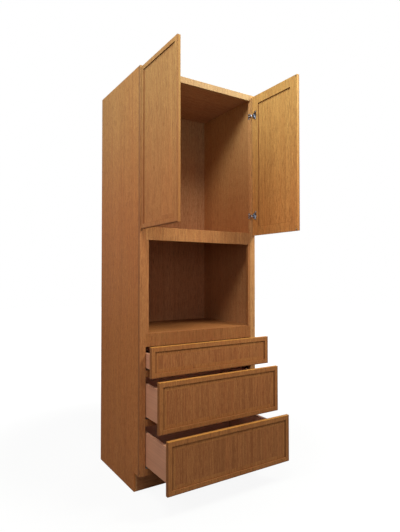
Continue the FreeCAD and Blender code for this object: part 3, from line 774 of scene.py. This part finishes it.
class CABINET_OT_face_frame(bpy.types.Operator):
    """Veneered face frame and the strips beside the oven"""

    bl_idname = "cabinet.face_frame"
    bl_label = "Finish the face frame"

    def execute(self, context):
        look, edge = settings().veneer, corner_edge
        # Painted light: the tones are lit and shaded copies of one veneer. The right stile, head rail and top
        # rail are paler, where more light falls; the left stile and the lower rails are darker, as in shade.
        names, tone = ("left_stile", "oven_fillers"), (0.84, 0.86, 0.94)
        board(names, "left_stile_wood", "z", "x", look, seed=5.2, strip=0.09, tone=tone, shade=edge)
        details = {"seed": 8.2, "strip": 0.09, "tone": (1.12, 1.40, 1.66), "shade": edge, "tint": warm_top}
        board(("right_stile",), "right_stile_wood", "z", "x", look, **details)
        tone = (1.02, 1.13, 1.27)
        board(("oven_head_rail",), "head_rail_wood", "z", "x", look, seed=6.7, strip=0.06, tone=tone)
        tone = (0.89, 1.04, 1.42)
        board(("top_rail",), "top_rail_wood", "z", "x", look, seed=6.1, strip=0.06, tone=tone)
        names = ("oven_sill_rail", "upper_drawer_rail", "lower_drawer_rail", "bottom_rail")
        tone = (0.72, 0.71, 0.74)
        board(names, "lower_rail_wood", "z", "x", look, seed=7.4, strip=0.06, tone=tone)
        return {"FINISHED"}


class CABINET_OT_doors(bpy.types.Operator):
    """Door frames and panels, grain upright"""

    bl_idname = "cabinet.doors"
    bl_label = "Finish the doors"

    def execute(self, context):
        look, tone = settings().veneer, (0.95, 0.95, 0.94)
        for side, seed, outward, rim_shade in (("left", 0.4, -1, 0.85), ("right", 9.3, 1, 0.35)):
            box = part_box(f"{side}_door_stiles")
            lines, inner = painted_recess_shade(box, 0, outward, rim_shade), painted_door_inner_light(box, 0, outward)
            for piece, change, strip in (("stile", 0.0, 0.08), ("rail", 0.7, 0.12), ("panel", 1.3, 0.11)):
                name = f"{side}_door_{piece}"
                names = (name if piece == "panel" else f"{name}s",)
                board(names, f"{name}_wood", "z", "y", look, seed + change, strip, tone, lines, inner)
        return {"FINISHED"}


class CABINET_OT_drawer_fronts(bpy.types.Operator):
    """Drawer front frames and panels, grain upright"""

    bl_idname = "cabinet.drawer_fronts"
    bl_label = "Finish the drawer fronts"

    def execute(self, context):
        look, panel = settings().veneer, settings().drawers
        frame_strip, panel_strip, panel_change, panel_level = 0.09, 0.044, 0.5, 0.98
        # Painted shade: the tones darken from the top drawer down, as the lower fronts get less light; the
        # panel level is the panels' own darker colour.
        for place, seed, tone in (("top", 11.2, 0.81), ("middle", 12.6, 0.76), ("bottom", 13.9, 0.70)):
            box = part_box(f"{place}_drawer_front_frame")
            lines, crest_highlight = painted_recess_shade(box, 1, -1), painted_crest_highlight(box[1].z)
            names, title = (f"{place}_drawer_front_frame",), f"{place}_frame_wood"
            board(names, title, "z", "x", look, seed, frame_strip, tone, lines, crest_highlight)
            names, title = (f"{place}_drawer_front_panel",), f"{place}_panel_wood"
            board(names, title, "z", "x", panel, seed + panel_change, panel_strip, tone * panel_level, lines)
        return {"FINISHED"}


class CABINET_OT_drawer_boxes(bpy.types.Operator):
    """Pale dovetailed boxes, grain along each board"""

    bl_idname = "cabinet.drawer_boxes"
    bl_label = "Finish the drawer boxes"

    # Board, its material, the grain's axes along and across it, change of seed, width of its strips.
    boards = (
        ("sides", "side", "y", "z", 0.0, 0.10),
        ("ends", "end", "x", "z", 0.6, 0.10),
        ("bottom", "bottom", "x", "y", 1.1, 0.3),
    )

    def execute(self, context):
        look = settings().maple
        for place, seed in zip(DRAWERS, (21.0, 22.3, 23.8)):
            box_light_and_shade = painted_box_light_and_shade(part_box(f"{place}_drawer_box_sides"))
            for piece, title, along, across, change, strip in self.boards:
                names, wood = (f"{place}_drawer_box_{piece}",), f"{place}_box_{title}_wood"
                board(names, wood, along, across, look, seed + change, strip, tint=box_light_and_shade)
        return {"FINISHED"}


class CABINET_OT_slides(bpy.types.Operator):
    """Zinc-plated slides and their screws, rear brackets, moulded locking clips and their finger ribs"""

    bl_idname = "cabinet.slides"
    bl_label = "Finish the slides"

    def execute(self, context):
        zinc = sheet_metal("zinc_sheet", settings().metal.zinc, "y")
        names = ["slide_cabinet_members"]
        names += [name for name in NODES if name.endswith(("_slide_middle_members", "_slide_members"))]
        dress(names, zinc)
        dress(("slide_rear_brackets",), moulded("bracket_plastic", (0.30, 0.31, 0.32)))
        clips = moulded("clip_plastic", (0.85, 0.42, 0.12), rough=0.45)
        dress([name for name in NODES if name.endswith("_lock_clips")], clips)
        steel = sheet_metal("slide_screw_steel", settings().metal.zinc, "z", rough=0.30, grain=0.1)
        self.flange_screws(steel)
        self.bracket_screws(steel)
        for place in DRAWERS:
            clip_ribs(f"{place}_clip_ribs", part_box(f"{place}_drawer_lock_clips"), clips, f"{place}_drawer")
        return {"FINISHED"}

    def flange_screws(self, steel):
        """Two screws through the front of each cabinet member's flange, into the stile."""
        look = settings().metal
        low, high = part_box("slide_cabinet_members")
        inset, rises, radius = 8.0 * MM, (-6.5 * MM, 7.0 * MM), look.screw_head * 0.9
        places = []
        for place in DRAWERS:
            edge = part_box(f"{place}_drawer_box_sides")[0].z
            for sign in (-1.0, 1.0):
                face = sign * (high.x - look.sheet)
                for rise in rises:
                    places.append((Vector((face, low.y + inset, edge + rise)), Vector((-sign, 0.0, 0.0))))
        heads("slide_flange_screws", places, radius, PAN_HEAD, steel, "carcass")

    def bracket_screws(self, steel):
        """Two screws through each rear bracket into the back panel."""
        look = settings().metal
        low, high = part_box("slide_rear_brackets")
        insets, plate, rise = (8.0 * MM, 45.0 * MM), 3.0 * MM, 16.0 * MM
        places = []
        for place in DRAWERS:
            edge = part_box(f"{place}_drawer_box_sides")[0].z
            for sign in (-1.0, 1.0):
                for inset in insets:
                    point = Vector((sign * (high.x - inset), high.y - plate, edge + rise))
                    places.append((point, Vector((0.0, -1.0, 0.0))))
        heads("rear_bracket_screws", places, look.screw_head, TRUSS_HEAD, steel, "carcass")


class CABINET_OT_front_screws(bpy.types.Operator):
    """Screws inside each drawer box that hold its front"""

    bl_idname = "cabinet.front_screws"
    bl_label = "Add the front screws"

    def execute(self, context):
        look = settings().metal
        steel = sheet_metal("front_screw_steel", look.zinc, "z", rough=0.32, grain=0.1)
        columns = (-0.74, 0.74)
        for place, rows in (("top", (0.60,)), ("middle", (0.36, 0.78)), ("bottom", (0.36, 0.78))):
            low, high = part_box(f"{place}_drawer_box_ends")
            inner = low.y + look.box_wall
            places = []
            for column in columns:
                for row in rows:
                    point = Vector((column * high.x, inner, low.z + row * (high.z - low.z)))
                    places.append((point, Vector((0.0, 1.0, 0.0))))
            name, radius = f"{place}_front_screws", look.front_screw
            heads(name, places, radius, TRUSS_HEAD, steel, f"{place}_drawer")
        return {"FINISHED"}


class CABINET_OT_hinges(bpy.types.Operator):
    """Nickel-plated hinge cups and arms, their screws and adjusting cams, and clear bumpers"""

    bl_idname = "cabinet.hinges"
    bl_label = "Finish the hinges"

    def execute(self, context):
        metal = settings().metal
        nickel = sheet_metal("hinge_nickel", metal.nickel, "z", rough=0.26, grain=0.2)
        steel = sheet_metal("screw_steel", metal.nickel, "z", rough=0.30, grain=0.1)
        dress([name for name in NODES if "hinge_arms" in name or "hinge_cups" in name], nickel)
        clear = clear_plastic("bumper_rubber", (0.80, 0.72, 0.58))
        dress([name for name in NODES if "bumpers" in name], clear)
        for side, sign in (("left", -1.0), ("right", 1.0)):
            self.side_heads(side, sign, metal.screw_head, steel)
        return {"FINISHED"}

    def side_heads(self, side, sign, radius, steel):
        """Screws of one side's plates and cups, and the cam in the middle of each plate."""
        plate_half, plate_middle, plate_screw = 18.3 * MM, 7.5 * MM, 12.0 * MM
        cup_wing, cup_screw = 9.0 * MM, 22.5 * MM
        inward = Vector((-sign, 0.0, 0.0))
        low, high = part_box(f"{side}_hinge_arms")
        centres = (low.z + plate_half, high.z - plate_half)
        plate_face, plate_y = (high.x if sign < 0 else low.x), high.y - plate_middle
        low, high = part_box(f"{side}_hinge_cups")
        cup_face, wing_y = (high.x if sign < 0 else low.x), low.y + cup_wing

        def spots(face, y, offsets):
            return [(Vector((face, y, centre + offset)), inward) for centre in centres for offset in offsets]

        places = spots(plate_face, plate_y, (-plate_screw, plate_screw))
        heads(f"{side}_plate_screws", places, radius, PAN_HEAD, steel, "carcass")
        places = spots(plate_face, plate_y, (0.0,))
        heads(f"{side}_adjusting_cams", places, radius * 1.25, TRUSS_HEAD, steel, "carcass")
        places = spots(cup_face, wing_y, (-cup_screw, cup_screw))
        heads(f"{side}_cup_screws", places, radius, TRUSS_HEAD, steel, f"{side}_door")


class CABINET_OT_stage(bpy.types.Operator):
    """Pale floor, white surroundings, soft lights and the camera"""

    bl_idname = "cabinet.stage"
    bl_label = "Build the studio"

    def execute(self, context):
        look = settings().studio
        scene = context.scene
        scene.view_settings.view_transform = "Standard"
        self.surroundings(scene, look)
        self.floor(scene)
        yellowish, yellower = (0.95, 1.0, 0.90), (0.95, 1.0, 0.86)
        self.lamp(scene, "key_light", (-1.15, -2.3, 4.15), (0.0, -0.6, 2.0), 1.2, look.key, yellowish)
        self.lamp(scene, "left_light", (-2.6, -1.4, 3.4), (-0.3, -0.5, 2.0), 1.4, look.left)
        self.lamp(scene, "right_light", (1.4, -2.4, 3.3), (0.2, -0.6, 2.0), 1.0, look.right, yellower)
        self.lamp(scene, "back_light", (2.2, 3.0, 1.3), (0.0, 0.0, 1.2), 1.8, look.back)
        self.lamp(scene, "low_fill", (-1.6, -3.4, 1.9), (0.0, -0.5, 1.4), 1.6, look.fill)
        self.camera(scene)
        return {"FINISHED"}

    def camera(self, scene):
        """Camera fitted to the photo; its focal length is in pixels of a picture 532 pixels high."""
        sensor_height, focal_pixels, picture_height = 36.0, 444.727, 532.0
        tilt, turn = 91.162, -32.654
        data = bpy.data.cameras.new("photo_camera")
        data.sensor_fit = "VERTICAL"
        data.sensor_height = sensor_height
        data.lens = sensor_height * focal_pixels / picture_height
        item = bpy.data.objects.new("photo_camera", data)
        item.location = (-1.4865, -2.9061, 1.2406)
        item.rotation_euler = (math.radians(tilt), 0.0, math.radians(turn))
        scene.collection.objects.link(item)
        scene.camera = item

    def lamp(self, scene, name, place, target, size, power, colour=(1.0, 1.0, 1.0)):
        """Round lamp of a size and power at a place, turned to a target."""
        data = bpy.data.lights.new(name, "AREA")
        data.color = colour
        data.shape = "DISK"
        data.size = size
        data.energy = power
        item = bpy.data.objects.new(name, data)
        item.location = place
        item.rotation_euler = (Vector(target) - Vector(place)).to_track_quat("-Z", "Y").to_euler()
        scene.collection.objects.link(item)

    def surroundings(self, scene, look):
        """White to the camera, in reflections and through clear pieces; a dim light for the rest."""
        world = bpy.data.worlds.new("studio_white")
        scene.world = world
        world.use_nodes = True
        tree = world.node_tree
        background = tree.nodes["Background"]
        background.inputs["Color"].default_value = (1.0, 1.0, 1.0, 1.0)
        path = tree.nodes.new("ShaderNodeLightPath")
        seen = path.outputs["Is Camera Ray"]
        for kind in ("Is Transmission Ray", "Is Glossy Ray"):
            both = tree.nodes.new("ShaderNodeMath")
            both.operation = "MAXIMUM"
            tree.links.new(seen, both.inputs[0])
            tree.links.new(path.outputs[kind], both.inputs[1])
            seen = both.outputs[0]
        strength = tree.nodes.new("ShaderNodeMapRange")
        strength.inputs["To Min"].default_value = look.world
        strength.inputs["To Max"].default_value = 1.0
        tree.links.new(seen, strength.inputs["Value"])
        tree.links.new(strength.outputs[0], background.inputs["Strength"])

    def floor(self, scene):
        """Floor that glows towards the camera: fully far away, 80 percent near the cabinet."""
        half_size, drop = 14.0, 1.5 * MM
        mesh = bmesh.new()
        bmesh.ops.create_grid(mesh, x_segments=1, y_segments=1, size=half_size)
        data = bpy.data.meshes.new("studio_floor")
        mesh.to_mesh(data)
        mesh.free()
        item = bpy.data.objects.new("studio_floor", data)
        item.location = (0.0, 0.0, -drop)
        scene.collection.objects.link(item)
        finish = Finish("studio_floor_white")
        finish.set(Base_Color=(0.30, 0.30, 0.30, 1.0), Roughness=0.9, Specular_IOR_Level=0.1)
        path = finish.nodes.new("ShaderNodeLightPath")
        white = {"Color": (1.0, 1.0, 1.0, 1.0), "Strength": 1.15}
        glow = finish.add("ShaderNodeEmission", None, white)
        far = finish.add("ShaderNodeVectorMath", {"operation": "LENGTH"}, {0: finish.place()}, out=1)
        seen = Socket(finish, path.outputs["Is Camera Ray"]) * far.ramp(0.9, 2.6, 0.80, 1.0)
        mixed = finish.add("ShaderNodeMixShader", None, {0: seen, 1: finish.shader.outputs[0], 2: glow})
        finish.put(finish.output.inputs[0], mixed)
        data.materials.append(finish.material)


OPERATORS = (
    CABINET_OT_carcass,
    CABINET_OT_face_frame,
    CABINET_OT_doors,
    CABINET_OT_drawer_fronts,
    CABINET_OT_drawer_boxes,
    CABINET_OT_slides,
    CABINET_OT_front_screws,
    CABINET_OT_hinges,
    CABINET_OT_stage,
)


class CABINET_PT_sidebar(bpy.types.Panel):
    """Buttons for each group of pieces"""

    bl_label = "Oven cabinet"
    bl_idname = "CABINET_PT_sidebar"
    bl_space_type = "VIEW_3D"
    bl_region_type = "UI"
    bl_category = "Cabinet"

    def draw(self, context):
        for operator in OPERATORS:
            self.layout.operator(operator.bl_idname)


CLASSES = (WoodLook, FrontLook, MetalLook, StudioLook, CabinetSettings, *OPERATORS, CABINET_PT_sidebar)


def register():
    for item in CLASSES:
        bpy.utils.register_class(item)
    bpy.types.Scene.cabinet_settings = bpy.props.PointerProperty(type=CabinetSettings)


def unregister():
    del bpy.types.Scene.cabinet_settings
    for item in reversed(CLASSES):
        bpy.utils.unregister_class(item)


def main():
    register()
    set_maple()
    set_interior()
    set_drawers()
    for operator in OPERATORS:
        group, name = operator.bl_idname.split(".")
        getattr(getattr(bpy.ops, group), name)()


if __name__ == "__main__":
    main()
